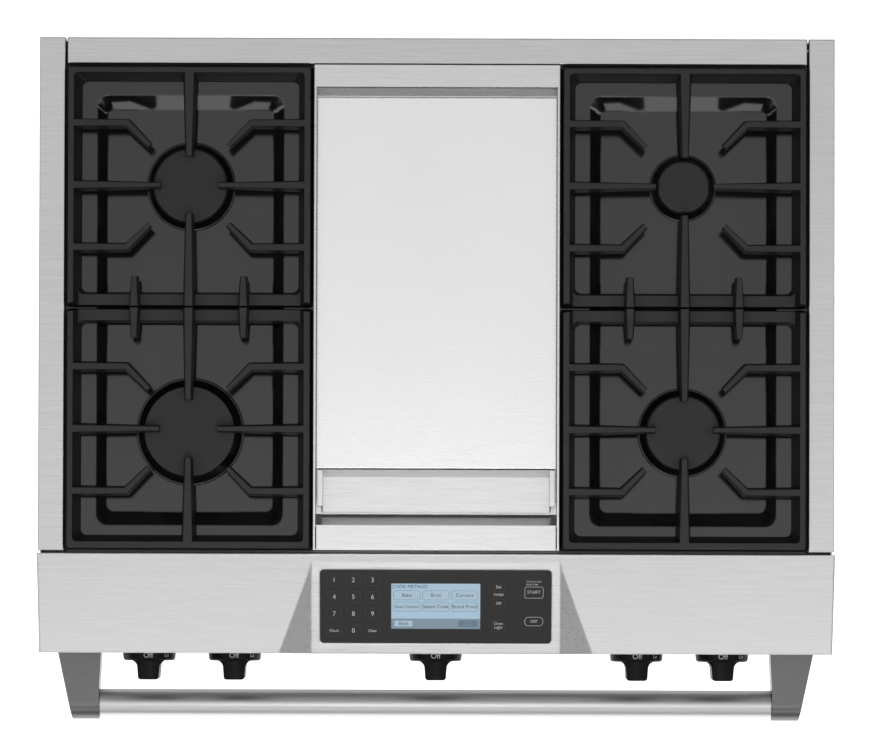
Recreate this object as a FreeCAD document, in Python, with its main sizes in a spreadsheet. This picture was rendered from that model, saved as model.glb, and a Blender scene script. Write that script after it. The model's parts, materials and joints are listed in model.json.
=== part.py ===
import FreeCAD, Part
import math
import os
import re

import Sketcher
from FreeCAD import Placement, Rotation, Vector

# Free-standing gas range: four sealed burners under cast-iron grates, a centre griddle, one oven.
# Frame: +X to the user's right, -Y towards the user, +Z up; the origin is on the floor,
# under the middle of the range's outline. Millimetres.

os.makedirs("parts", exist_ok=True)
doc = FreeCAD.newDocument("gas_range")

DRIVING = {
    # outline
    "half_width": 455.5, "console_half": 456.8, "back": 394, "trim_top": 911, "trim_bottom": 886,
    # casing
    "sheet": 1.5, "case_front": -248, "pan_bottom": 92, "deck_top": 890, "shoulder_z": 868,
    "kick_front": -245, "kick_low": 28, "kick_high": 145,
    # cooktop
    "side_trim": 29.6, "back_trim": 30, "cook_front": -192.7, "well_floor": 880,
    "column": 283.2, "burner_x": 282.5, "rear_burner_y": 224.3, "front_burner_y": -57.5,
    "griddle_half": 140.5, "griddle_wall": 2.4, "griddle_top": 917,
    # grates
    "grate_top": 932, "grate_low": 893, "grate_half_width": 141.2, "grate_half_depth": 138.2,
    "grate_draft_out": 4, "grate_rail": 16.8, "grate_draft_in": 7.2, "cross_rail_top": 908, "seam_y": 84.5,
    "finger_tip": 33,
    # oven
    "cavity_half": 378.5, "cavity_low": 205, "cavity_high": 640, "cavity_back": 250,
    "frame_face": -250, "rack_rod": 3, "rack_bar": 2,
    # door
    "door_half": 447, "door_low": 152, "door_high": 736, "door_front": -305, "door_back": -256.7,
    "hinge_y": -265, "hinge_z": 158, "hinge_pin": 3, "fit_gap": 0.05,
    # handle
    "bar_radius": 16.5, "bar_y": -375, "bar_z": 690, "bar_half": 396.1,
    # console
    "console_rear_y": -197, "console_rear_z": 905, "lip_y": -312, "lip_z": 858, "lip_low": 852,
    "panel_face": -302, "panel_low": 742, "hood_rear_y": -206, "hood_rise": 14,
    "hood_rear_half": 142.5, "hood_front_half": 182.4,
    # knobs
    "knob_z": 785, "outer_knob_x": 333.3, "inner_knob_x": 233.8, "spindle_radius": 4,
    "knob_rear": -306.3, "skirt_depth": 15.8, "knob_end": -344,
    # gas
    "manifold_y": -232, "manifold_radius": 11, "manifold_end_x": 415,
    # legs
    "leg_x": 410, "leg_front_y": -200, "leg_rear_y": 345, "stem_radius": 6,
}

sheet = doc.addObject("Spreadsheet::Sheet", "Dims")
for row, (alias, amount) in enumerate(DRIVING.items(), start=1):
    sheet.set(f"A{row}", alias)
    sheet.set(f"B{row}", str(amount))
    sheet.setAlias(f"B{row}", alias)
doc.recompute()


class Dim:
    """The spreadsheet's values, read by alias: dim.half_width."""

    def __getattr__(self, alias):
        return float(sheet.get(alias))


dim = Dim()
nodes = []


# ---------------------------------------------------------------- helpers

def bound(text):
    """An expression with each dimension's alias pointed at the sheet."""
    return re.sub(r"[a-z_]+", lambda word: "Dims." + word[0] if word[0] in DRIVING else word[0], str(text))


def bind(thing, prop, text):
    thing.setExpression(prop, bound(text))


def shift(thing, *place):
    """Bind the object's position to three expressions."""
    for axis, text in zip("xyz", place):
        bind(thing, f"Placement.Base.{axis}", text)


def box(name, x, y, z):
    """A box from three (low, high) pairs."""
    thing = doc.addObject("Part::Box", name)
    for prop, (low, high) in zip(("Length", "Width", "Height"), (x, y, z)):
        bind(thing, prop, f"({high}) - ({low})")
    shift(thing, x[0], y[0], z[0])
    return thing


TURNS = {"x": Rotation(Vector(0, 1, 0), 90), "y": Rotation(Vector(1, 0, 0), -90), "z": Rotation()}


def rod(name, axis, radius, length, place):
    """A cylinder from `place` towards +axis."""
    thing = doc.addObject("Part::Cylinder", name)
    thing.Placement = Placement(Vector(), TURNS[axis])
    bind(thing, "Radius", radius)
    bind(thing, "Height", length)
    shift(thing, *place)
    return thing


def cone(name, axis, radius_start, radius_end, length, place):
    thing = doc.addObject("Part::Cone", name)
    thing.Placement = Placement(Vector(), TURNS[axis])
    bind(thing, "Radius1", radius_start)
    bind(thing, "Radius2", radius_end)
    bind(thing, "Height", length)
    shift(thing, *place)
    return thing


def fuse(name, *things):
    thing = doc.addObject("Part::MultiFuse", name)
    thing.Shapes = list(things)
    thing.Refine = True
    return thing


def common(name, *things):
    thing = doc.addObject("Part::MultiCommon", name)
    thing.Shapes = list(things)
    return thing


def group(name, *things):
    thing = doc.addObject("Part::Compound", name)
    thing.Links = list(things)
    return thing


def cut(name, base, *tools):
    thing = doc.addObject("Part::Cut", name)
    thing.Base = base
    thing.Tool = tools[0] if len(tools) == 1 else group(name + "_tools", *tools)
    return thing


def rounded(name, base, radius, wanted, upper_radius=None):
    """Round the edges that `wanted` accepts; `upper_radius` is the radius at their upper ends."""
    doc.recompute()
    thing = doc.addObject("Part::Fillet", name)
    thing.Base = base
    edges = []
    for number, edge in enumerate(base.Shape.Edges, start=1):
        if wanted(edge):
            radii = [radius, upper_radius or radius]
            if edge.firstVertex().Point.z > edge.lastVertex().Point.z:
                radii.reverse()
            edges.append((number, *radii))
    thing.Edges = edges
    return thing


def direction(edge):
    """Unit direction of a straight edge, or a null vector for a curved one."""
    if edge.Curve.TypeId != "Part::GeomLine":
        return Vector()
    return (edge.Vertexes[-1].Point - edge.Vertexes[0].Point).normalize()


def upright(edge):
    return abs(direction(edge).z) > 0.3


def draw(sketch, corners):
    """Draw a closed outline; each corner is dimensioned from the sketch's origin."""
    for here, there in zip(corners, corners[1:] + corners[:1]):
        start, end = (Vector(*[float(doc_value(v)) for v in corner]) for corner in (here, there))
        sketch.addGeometry(Part.LineSegment(start, end), False)
    count = len(corners)
    from_origin = []
    for number, corner in enumerate(corners):
        sketch.addConstraint(Sketcher.Constraint("Coincident", number, 2, (number + 1) % count, 1))
    for number, corner in enumerate(corners):
        for kind, text in zip(("DistanceX", "DistanceY"), corner):
            constraint = Sketcher.Constraint(kind, -1, 1, number, 1, float(doc_value(text)))
            from_origin.append((sketch.addConstraint(constraint), text))
    for index, text in from_origin:
        bind(sketch, f"Constraints[{index}]", text)


def doc_value(text):
    """The number that an expression of dimensions has now."""
    return sheet.evalExpression(bound(text).replace("Dims.", ""))


def prism(name, plane, corners, low, high):
    """A body: an outline on the XY or YZ plane, padded from `low` to `high` along its normal."""
    body = doc.addObject("PartDesign::Body", name)
    sketch = body.newObject("Sketcher::SketchObject", name + "_outline")
    origin_plane = next(f for f in body.Origin.OriginFeatures if f.Role == plane + "_Plane")
    sketch.AttachmentSupport = (origin_plane, [""])
    sketch.MapMode = "FlatFace"
    bind(sketch, "AttachmentOffset.Base.z", low)
    draw(sketch, corners)
    pad = body.newObject("PartDesign::Pad", name + "_pad")
    pad.Profile = sketch
    bind(pad, "Length", f"({high}) - ({low})")
    return body


def section(name, corners, place, across, up):
    """A free sketch at `place`, its axes along `across` and `up`."""
    sketch = doc.addObject("Sketcher::SketchObject", name)
    sketch.Placement = Placement(Vector(*place), Rotation(across, up, across.cross(up), "XYZ"))
    draw(sketch, corners)
    return sketch


def loft(name, *sections):
    thing = doc.addObject("Part::Loft", name)
    thing.Sections = list(sections)
    thing.Solid = True
    thing.Ruled = True
    return thing


def frustum(name, x, y, z, x_top, y_top):
    """A block whose lower rectangle (x, y pairs) grows or shrinks to the upper one."""
    thing = doc.addObject("Part::Wedge", name)
    thing.Placement = Placement(Vector(), Rotation(Vector(1, 0, 0), 90))
    sizes = {"Xmin": x[0], "Xmax": x[1], "X2min": x_top[0], "X2max": x_top[1],
             "Ymin": z[0], "Ymax": z[1],
             "Zmin": f"-({y[1]})", "Zmax": f"-({y[0]})", "Z2min": f"-({y_top[1]})", "Z2max": f"-({y_top[0]})"}
    for prop, text in sizes.items():
        bind(thing, prop, text)
    return thing


def bent_rod(name, radius, corners, bend):
    """A round bar along square-cornered points, with a quarter torus at each bend."""
    points = [Vector(*corner) for corner in corners]
    pieces = []
    last = len(points) - 2
    for number, (start, end) in enumerate(zip(points, points[1:])):
        run = (end - start).normalize()
        lead = bend if number > 0 else 0
        tail = bend if number < last else 0
        leg = doc.addObject("Part::Cylinder", f"{name}_leg_{number}")
        bind(leg, "Radius", radius)
        leg.Height = (end - start).Length - lead - tail
        leg.Placement = Placement(start + run * lead, Rotation(Vector(0, 0, 1), run))
        pieces.append(leg)
    for number, (before, corner, after) in enumerate(zip(points, points[1:], points[2:])):
        arriving = (corner - before).normalize()
        leaving = (after - corner).normalize()
        elbow = doc.addObject("Part::Torus", f"{name}_bend_{number}")
        elbow.Radius1 = bend
        bind(elbow, "Radius2", radius)
        elbow.Angle3 = 90
        turn = Rotation(-leaving, arriving, (-leaving).cross(arriving), "XYZ")
        elbow.Placement = Placement(corner - arriving * bend + leaving * bend, turn)
        pieces.append(elbow)
    return fuse(name, *pieces)


def tray(name, x, y, z, wall="sheet", open_side="top"):
    """A folded-sheet box that is open on one side."""
    outer = box(name + "_outer", x, y, z)
    inside = [[f"({low}) + {wall}", f"({high}) - {wall}"] for low, high in (x, y, z)]
    axis, end = {"top": (2, 1), "bottom": (2, 0), "back": (1, 1), "front": (1, 0)}[open_side]
    inside[axis][end] = f"({(x, y, z)[axis][end]}) {'+' if end else '-'} 5"
    return cut(name, outer, box(name + "_hollow", *inside))


def node(label, thing):
    thing.Label = label
    nodes.append(thing)
    return thing


def both_sides(mirrored_name, make):
    """Make a thing for the left (-1) and the right (+1) side."""
    return [make(f"{mirrored_name}_{word}", sign) for word, sign in (("left", -1), ("right", 1))]


def span(sign, near, far):
    """The (low, high) pair of a stretch between two distances from the centre plane."""
    return (f"-({far})", f"-({near})") if sign < 0 else (near, far)


# ---------------------------------------------------------------- casing

LEG_PLACES = {
    "leg_front_left": ("-leg_x", "leg_front_y"), "leg_front_right": ("leg_x", "leg_front_y"),
    "leg_rear_left": ("-leg_x", "leg_rear_y"), "leg_rear_right": ("leg_x", "leg_rear_y"),
}


def base_pan():
    pan = tray("base_tray", ("-452.8", "452.8"), ("-240", "388"), ("pan_bottom", "pan_bottom + 28"))
    sockets = [rod(f"socket_{i}", "z", "stem_radius + 7", "14", (x, y, "pan_bottom"))
               for i, (x, y) in enumerate(LEG_PLACES.values())]
    bores = [rod(f"socket_bore_{i}", "z", "stem_radius + fit_gap", "30", (x, y, "pan_bottom - 5"))
             for i, (x, y) in enumerate(LEG_PLACES.values())]
    node("base_pan", cut("base_pan_bored", fuse("base_pan_blank", pan, *sockets), *bores))


def legs():
    for label, (x, y) in LEG_PLACES.items():
        foot = cone(label + "_foot", "z", "22", "19", "9", (x, y, "0"))
        hexagon = doc.addObject("Part::Prism", label + "_hex")
        hexagon.Polygon = 6
        hexagon.Circumradius = 18.5
        hexagon.Height = 54
        shift(hexagon, x, y, "8.5")
        stem = rod(label + "_stem", "z", "stem_radius", "44", (x, y, "60"))
        node(label, fuse(label + "_whole", foot, hexagon, stem))


def side_panels():
    def one(name, sign):
        skin = box(name + "_skin", span(sign, "half_width - 20", "half_width - 1"),
                   ("case_front", "390"), ("pan_bottom", "deck_top - 4.5"))
        hollow = box(name + "_hollow", span(sign, "half_width - 30", "half_width - 1 - sheet"),
                     ("case_front + sheet", "390 - sheet"), ("pan_bottom - 5", "deck_top + 5"))
        shoulder = box(name + "_shoulder", span(sign, "half_width - 30", "half_width + 1"),
                       ("case_front - 2", "console_rear_y + 0.3"), ("shoulder_z", "deck_top + 5"))
        return cut(name, cut(name + "_channel", skin, hollow), shoulder)
    node("side_panels", group("side_panels_pair", *both_sides("side_panel", one)))


def rear_panel():
    plate = box("rear_plate", ("-453.5", "453.5"), ("390.2", "390.2 + sheet"), ("pan_bottom", "deck_top - 4.5"))
    slots = [box(f"vent_{row}_{column}", (f"{-330 + 170 * column}", f"{-330 + 170 * column + 120}"),
                 ("385", "395"), (f"{730 + 24 * row}", f"{730 + 24 * row + 8}"))
             for row in range(4) for column in range(4)]
    inlet_hole = rod("inlet_hole", "y", "22", "10", ("manifold_end_x", "385", "knob_z"))
    knockout = rod("supply_knockout", "y", "14.3", "10", ("-380", "385", "150"))
    node("rear_panel", cut("rear_panel_cut", plate, *slots, inlet_hole, knockout))


def kick_plate():
    plate = tray("kick_tray", ("-452.8", "452.8"), ("kick_front", "-240.2"), ("kick_low", "kick_high"),
                 open_side="back")
    slots = [box(f"kick_slot_{i}", (f"{-300 + 75 * i}", f"{-250 + 75 * i}"), ("-250", "-235"), ("118", "124"))
             for i in range(9)]
    node("kick_plate", cut("kick_plate_cut", plate, *slots))


def cooktop_trims():
    def side(name, sign):
        shell = tray(name, span(sign, "half_width - side_trim", "half_width"), ("cook_front - 1", "back"),
                     ("trim_bottom", "trim_top"), open_side="bottom")
        return rounded(name + "_eased", shell, 1.4, lambda edge: outer_top(edge))

    def outer_top(edge):
        middle = edge.BoundBox.Center
        return middle.z > dim.trim_top - 0.1 and edge.BoundBox.ZLength < 0.1

    node("cooktop_side_trims", group("side_trim_pair", *both_sides("side_trim", side)))
    shell = tray("back_trim_shell", ("side_trim + 2.1 - half_width", "half_width - side_trim - 2.1"),
                 ("back - back_trim", "back"), ("trim_bottom", "trim_top"), open_side="bottom")
    node("back_trim", rounded("back_trim_eased", shell, 1.4, outer_top))


# ---------------------------------------------------------------- oven

def oven_liner():
    outer = box("liner_outer", ("-cavity_half - sheet", "cavity_half + sheet"),
                ("case_front + 1.6", "cavity_back + sheet"), ("cavity_low - sheet", "cavity_high + sheet"))
    inner = box("liner_inner", ("-cavity_half", "cavity_half"), ("case_front - 9", "cavity_back"),
                ("cavity_low", "cavity_high"))
    eased = rounded("liner_inner_eased", inner, 12, lambda edge: abs(direction(edge).y) > 0.9
                    or edge.BoundBox.Center.y > dim.cavity_back - 1)
    shaft_hole = rod("liner_shaft_hole", "y", "8", "12", ("0", "cavity_back - 5", "400"))
    node("oven_liner", cut("oven_liner_shell", outer, eased, shaft_hole))


def oven_insulation():
    wrap = box("wrap_outer", ("-424", "424"), ("-238", "300"), ("162", "690"))
    hollow = box("wrap_hollow", ("-cavity_half - sheet - 0.4", "cavity_half + sheet + 0.4"),
                 ("-250", "cavity_back + sheet + 0.4"),
                 ("cavity_low - sheet - 0.4", "cavity_high + sheet + 0.4"))
    motor_well = rod("motor_well", "y", "52", "80", ("0", "cavity_back", "400"))
    node("oven_insulation", cut("oven_insulation_wrap", wrap, hollow, motor_well))


def oven_face_frame():
    plate = box("face_plate", ("-435.2", "435.2"), ("frame_face", "case_front + 1.4"), ("150", "740"))
    opening = box("face_opening", ("-cavity_half - 0.5", "cavity_half + 0.5"), ("-260", "-240"),
                  ("cavity_low - 0.5", "cavity_high + 0.5"))
    node("oven_face_frame", cut("face_frame", plate, opening))


def door_gasket():
    outer = box("gasket_outer", ("-398", "398"), ("door_back + 0.7", "frame_face - 0.2"), ("186", "659"))
    inner = box("gasket_inner", ("-388", "388"), ("-270", "-240"), ("196", "649"))
    ring = cut("gasket_ring", rounded("gasket_outer_eased", outer, 25, lambda e: abs(direction(e).y) > 0.9),
               rounded("gasket_inner_eased", inner, 16, lambda e: abs(direction(e).y) > 0.9))
    node("door_gasket", ring)


RACK_LEVELS = [245 + 60 * level for level in range(6)]


def rack_guides():
    def one(name, sign):
        wires = [rod(f"{name}_run_{z}", "y", "2.5", "430", (f"{sign * 371.5}", "-215", f"{z}"))
                 for z in RACK_LEVELS]
        height = RACK_LEVELS[-1] + 30 - 225
        posts = [rod(f"{name}_post_{i}", "z", "2.2", f"{height}", (f"{sign * 376}", f"{y}", "225"))
                 for i, y in enumerate((-205, 205))]
        return fuse(name, *wires, *posts)
    node("rack_guides", group("rack_guides_pair", *both_sides("rack_guide", one)))


def rack(label, level):
    """A wire rack that lies on the guide wires of one level."""
    z = level + 2.5 + dim.rack_rod + 0.1
    sides = [rod(f"{label}_side_{i}", "y", "rack_rod", "422", (f"{x}", "-218", f"{z}"))
             for i, x in enumerate((-369.5, 369.5))]
    ends = [rod(f"{label}_end_{i}", "x", "rack_rod", "739", ("-369.5", f"{y}", f"{z}"))
            for i, y in enumerate((-215, 201))]
    middle = rod(f"{label}_middle", "x", "rack_rod", "739", ("-369.5", "2", f"{z}"))
    pitch = 739 / 20
    bars = [rod(f"{label}_bar_{i}", "y", "rack_bar", "416", (f"{-369.5 + pitch * (i + 1)}", "-215", f"{z + 4}"))
            for i in range(19)]
    node(label, fuse(label + "_wires", *sides, *ends, middle, *bars))


def heating_element(label, z, half, front, rear, loops):
    """A tubular element that snakes from the rear wall and back."""
    corners = [(-half, rear, z)]
    pitch = 2 * half / (2 * loops - 1)
    for number in range(2 * loops):
        x = -half + pitch * number
        near = (x, front, z)
        far = (x, rear - 60, z)
        corners += [near] if number == 0 else []
        corners += [] if number == 0 else ([near, far] if number % 2 else [far, near])
    corners[-1] = (half, rear, z)
    return bent_rod(label + "_tube", "4", corners, 20)


def oven_heaters():
    rear = dim.cavity_back - 0.3
    node("bake_element", heating_element("bake_element", 222, 290, -190, rear, 3))
    node("broil_element", heating_element("broil_element", 622, 290, -190, rear, 4))


def convection():
    fan_z = "400"
    # cover: a dished disc with rings of round holes, on the rear wall
    skirt = cone("cover_body", "y", "112", "124", "34", ("0", "cavity_back - 34.3", fan_z))
    inside = cone("cover_inside", "y", "110", "122.5", "34", ("0", "cavity_back - 32.8", fan_z))
    holes = []
    for ring, count in ((30, 6), (52, 12), (74, 18), (96, 24)):
        for number in range(count):
            angle = 2 * math.pi * number / count
            holes.append(rod(f"cover_hole_{ring}_{number}", "y", "6", "12",
                             (f"{ring * math.cos(angle):.4f}", "cavity_back - 40",
                              f"{400 + ring * math.sin(angle):.4f}")))
    node("fan_cover", cut("fan_cover_pierced", skirt, inside, *holes))
    # impeller and its shaft
    disc = rod("impeller_disc", "y", "74", "1.5", ("0", "cavity_back - 9", fan_z))
    hub = rod("impeller_hub", "y", "11", "14", ("0", "cavity_back - 20", fan_z))
    shaft = rod("impeller_shaft", "y", "4", "36", ("0", "cavity_back - 12", fan_z))
    blades = []
    for number in range(10):
        blade = doc.addObject("Part::Box", f"impeller_blade_{number}")
        blade.Length, blade.Width, blade.Height = 50, 16, 1.5
        turn = Rotation(Vector(0, 1, 0), -36 * number)
        blade.Placement = Placement(turn.multVec(Vector(22, 0, 0)) + Vector(0, dim.cavity_back - 24, 400), turn)
        blades.append(blade)
    node("fan_blade", fuse("impeller", disc, hub, shaft, *blades))
    # motor behind the rear wall
    can = rod("motor_can", "y", "42", "44", ("0", "cavity_back + 14", fan_z))
    flange = rod("motor_flange", "y", "50", "2", ("0", "cavity_back + 12", fan_z))
    bore = rod("motor_bore", "y", "4 + fit_gap", "16", ("0", "cavity_back + 10", fan_z))
    node("fan_motor", cut("fan_motor_bored", fuse("motor_body", can, flange), bore))


def oven_lamps():
    lenses = []
    rim_y = dim.cavity_back - 10
    for word, sign in (("left", -1), ("right", 1)):
        lens = rod(f"lamp_{word}", "y", "30", "14", (f"{sign * 300}", "cavity_back - 14.3", "560"))
        lenses.append(rounded(f"lamp_{word}_eased", lens, 5,
                              lambda e: e.BoundBox.YLength < 0.1 and e.BoundBox.Center.y < rim_y))
    node("oven_lamps", group("oven_lamp_pair", *lenses))


# ---------------------------------------------------------------- door

def hinge_notches(name):
    return [box(f"{name}_{word}", span(sign, "390", "418"), ("-287", "-255"), ("door_low - 2", "hinge_z + 15"))
            for word, sign in (("left", -1), ("right", 1))]


def door_skin():
    outer = box("skin_outer", ("-door_half", "door_half"), ("door_front", "door_back - 1.8"),
                ("door_low", "door_high"))
    eased = rounded("skin_eased", outer, 3, lambda e: e.BoundBox.YLength < 0.1 and e.BoundBox.Center.y < -300)
    hollow = box("skin_hollow", ("sheet - door_half", "door_half - sheet"), ("door_front + sheet", "-250"),
                 ("door_low + sheet", "door_high - sheet"))
    window = box("skin_window", ("-262", "262"), ("-310", "-290"), ("300", "560"))
    shell = cut("door_skin_shell", eased, hollow)
    node("door_skin", cut("door_skin_cut", shell, window, *hinge_notches("skin_notch")))


def door_liner():
    plate = box("door_liner_plate", ("-door_half", "door_half"), ("door_back - sheet", "door_back"),
                ("door_low + 0.2", "door_high - 0.2"))
    collar = box("liner_collar", ("-249", "249"), ("-278", "door_back - 1"), ("306", "559"))
    sight = box("liner_sight", ("-236", "236"), ("-290", "-250"), ("320", "545"))
    seat = box("liner_seat", ("-247.4", "247.4"), ("-290", "door_back - sheet"), ("307.5", "557.5"))
    blank = fuse("door_liner_blank", plate, collar)
    node("door_liner", cut("door_liner_cut", cut("door_liner_open", blank, sight), seat,
                           *hinge_notches("liner_notch")))


def door_glass():
    outer = box("glass_outer", ("-278", "278"), ("door_front + 1.7", "door_front + 5.7"), ("286", "574"))
    inner = box("glass_inner", ("-247.2", "247.2"), ("door_back - 5.7", "door_back - 1.7"), ("307.7", "557.3"))
    node("door_glass_outer", outer)
    node("door_glass_inner", inner)


def handle():
    bar = rod("bar_tube", "x", "bar_radius", "2 * bar_half", ("-bar_half", "bar_y", "bar_z"))
    bore = rod("bar_bore", "x", "bar_radius - 2", "2 * bar_half - 8", ("4 - bar_half", "bar_y", "bar_z"))
    node("handle_bar", cut("handle_tube", bar, bore))

    def bracket(name, sign):
        arm = box(name + "_arm", span(sign, "390", "455"), ("bar_y", "door_front - 0.2"),
                  ("bar_z - 19", "bar_z + 19"))
        end = rod(name + "_end", "x", "19", "65", ("390" if sign > 0 else "-455", "bar_y", "bar_z"))
        plan = [(f"{sign * 447}", "door_front - 0.2"), (f"{sign * 427.8}", "bar_y - 20"),
                (f"{sign * 396.5}", "bar_y - 20"), (f"{sign * 396.5}", "bar_y + 20"),
                (f"{sign * 393.9}", "door_front - 0.2")]
        wedge = prism(name + "_plan", "XY", plan if sign < 0 else plan[::-1], "bar_z - 25", "bar_z + 25")
        return common(name, fuse(name + "_solid", arm, end), wedge)
    node("handle_brackets", group("bracket_pair", *both_sides("bracket", bracket)))


def hinges():
    def arm(name, sign):
        block = box(name + "_block", span(sign, "391", "417"), ("-302.9", "-279"), ("door_low + 2", "216"))
        cheeks = []
        for side, (near, far) in enumerate((("391", "397.5"), ("410.5", "417"))):
            cheeks.append(box(f"{name}_cheek_{side}", span(sign, near, far), ("-285", "hinge_y"),
                              ("hinge_z - 5.8", "hinge_z + 5.8")))
            start = near if sign > 0 else f"-{far}"
            cheeks.append(rod(f"{name}_boss_{side}", "x", "5.8", "6.5", (start, "hinge_y", "hinge_z")))
        bore = rod(name + "_bore", "x", "hinge_pin + fit_gap", "40",
                   ("385" if sign > 0 else "-425", "hinge_y", "hinge_z"))
        return cut(name, fuse(name + "_blank", block, *cheeks), bore)
    node("door_hinge_arms", group("hinge_arm_pair", *both_sides("hinge_arm", arm)))

    def receiver(name, sign):
        tongue = box(name + "_tongue", span(sign, "398", "410"), ("hinge_y", "frame_face - 0.2"),
                     ("hinge_z - 5.8", "hinge_z + 5.8"))
        start = {1: "398", -1: "-410"}[sign]
        boss = rod(name + "_boss", "x", "5.8", "12", (start, "hinge_y", "hinge_z"))
        pin_start = {1: "391", -1: "-417"}[sign]
        pin = rod(name + "_pin", "x", "hinge_pin", "26", (pin_start, "hinge_y", "hinge_z"))
        return fuse(name, tongue, boss, pin)
    node("hinge_receivers", group("receiver_pair", *both_sides("receiver", receiver)))


# ---------------------------------------------------------------- cooktop

BURNERS = {
    # name: (side, y, cap radius, ring radius, rounding of the cap's rim)
    "rear_left": (-1, "rear_burner_y", 43, 51.3, 3),
    "front_left": (-1, "front_burner_y", 51.7, 62.1, 1.2),
    "rear_right": (1, "rear_burner_y", 30.5, 38.8, 3),
    "front_right": (1, "front_burner_y", 43, 51.6, 3),
}


def burner_pans():
    def one(name, sign):
        ledge = box(name + "_ledge", span(sign, "griddle_half + 0.4", "half_width - side_trim - 0.3"),
                    ("cook_front", "back - back_trim - 0.4"), ("deck_top - 2", "deck_top"))
        apron = box(name + "_apron", span(sign, "griddle_half + 0.4", "half_width - side_trim - 0.3"),
                    ("cook_front", "cook_front + sheet"), ("868", "deck_top - 1"))
        lap = box(name + "_lap", span(sign, "0.2", "452"), ("cook_front - 4", "cook_front + 1"),
                  ("868", "869.5"))
        mouth_x, floor_x = span(sign, "175.4", "390.5"), span(sign, "188.4", "378.4")
        mouth_y, floor_y = ("-165.2", "329"), ("-149.4", "313")
        skin = frustum(name + "_skin", span(sign, "186.4", "380.4"), ("-151.4", "315"),
                       ("well_floor - 2", "deck_top - 0.5"), span(sign, "173.4", "392.5"), ("-167.2", "331"))
        well = frustum(name + "_well", floor_x, floor_y, ("well_floor", "deck_top"), mouth_x, mouth_y)
        well_eased = rounded(name + "_well_eased", well, 15, upright, 26)
        throats = [rod(f"{name}_throat_{key}", "z", "17.5", "20", (f"{side} * burner_x", y, "870"))
                   for key, (side, y, *_) in BURNERS.items() if side == sign]
        blank = fuse(name + "_blank", ledge, apron, lap, skin)
        return cut(name, blank, well_eased, *throats)
    node("burner_pans", group("burner_pan_pair", *both_sides("burner_pan", one)))


def burner(key, side, y, cap, ring, rim):
    """Head, cap and igniter of one burner, each at the burner's place."""
    x = f"{side} * burner_x"
    foot = rod(f"{key}_foot", "z", f"{ring}", "2.4", (x, y, "well_floor + 0.2"))
    foot_eased = rounded(f"{key}_foot_eased", foot, 1.3,
                         lambda e: e.BoundBox.ZLength < 0.1 and e.BoundBox.Center.z > dim.well_floor + 2)
    flank = cone(f"{key}_flank", "z", f"{ring - 1.4}", f"{0.9 * cap:.2f}", "10", (x, y, "well_floor + 2"))
    crown = rod(f"{key}_crown", "z", f"{0.8 * cap:.2f}", "19.6", (x, y, "well_floor + 0.3"))
    throat = rod(f"{key}_throat", "z", "16", "36", (x, y, "well_floor - 34"))
    bore = rod(f"{key}_bore", "z", "12", "46", (x, y, "well_floor - 35"))
    count = int(cap * 0.7)
    ports = []
    for number in range(count):
        port = doc.addObject("Part::Box", f"{key}_port_{number}")
        port.Length, port.Width, port.Height = 20, 1.8, 6
        turn = Rotation(Vector(0, 0, 1), 360 * number / count)
        centre = Vector(side * dim.burner_x, getattr(dim, y), dim.well_floor + 12.2)
        port.Placement = Placement(centre + turn.multVec(Vector(0.8 * cap - 9, -0.9, 0)), turn)
        ports.append(port)
    head = cut(f"{key}_head", fuse(f"{key}_head_blank", foot_eased, flank, crown, throat), bore, *ports)

    disc = rod(f"{key}_cap", "z", f"{cap}", "8", (x, y, "well_floor + 20.1"))
    cap_eased = rounded(f"{key}_cap_eased", disc, rim,
                        lambda e: e.BoundBox.ZLength < 0.1 and e.BoundBox.Center.z > dim.well_floor + 25)
    post_y = f"{y} - {0.8 * cap + 2.1:.2f}"
    post = rod(f"{key}_post", "z", "1.8", "6", (x, post_y, "well_floor + 12.2"))
    return head, cap_eased, post


def burners():
    heads, caps, posts = zip(*(burner(key, *row) for key, row in BURNERS.items()))
    node("burner_heads", group("burner_head_set", *heads))
    node("burner_caps", group("burner_cap_set", *caps))
    node("igniters", group("igniter_set", *posts))


def finger(name, start, end, start_widths, end_widths, start_low=905, end_low=913):
    """A drafted bar from `start` to `end`; widths are (top, bottom) in plan."""
    run = (Vector(*end, 0) - Vector(*start, 0)).normalize()
    across = Vector(0, 0, 1).cross(run)
    ends = []
    stations = (("root", start, start_widths, start_low), ("tip", end, end_widths, end_low))
    for word, place, (top, bottom), low in stations:
        corners = [(f"{-bottom / 2}", f"{low}"), (f"{bottom / 2}", f"{low}"),
                   (f"{top / 2}", "grate_top"), (f"{-top / 2}", "grate_top")]
        ends.append(section(f"{name}_{word}", corners, (*place, 0), across, Vector(0, 0, 1)))
    return loft(name, *ends)


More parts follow.
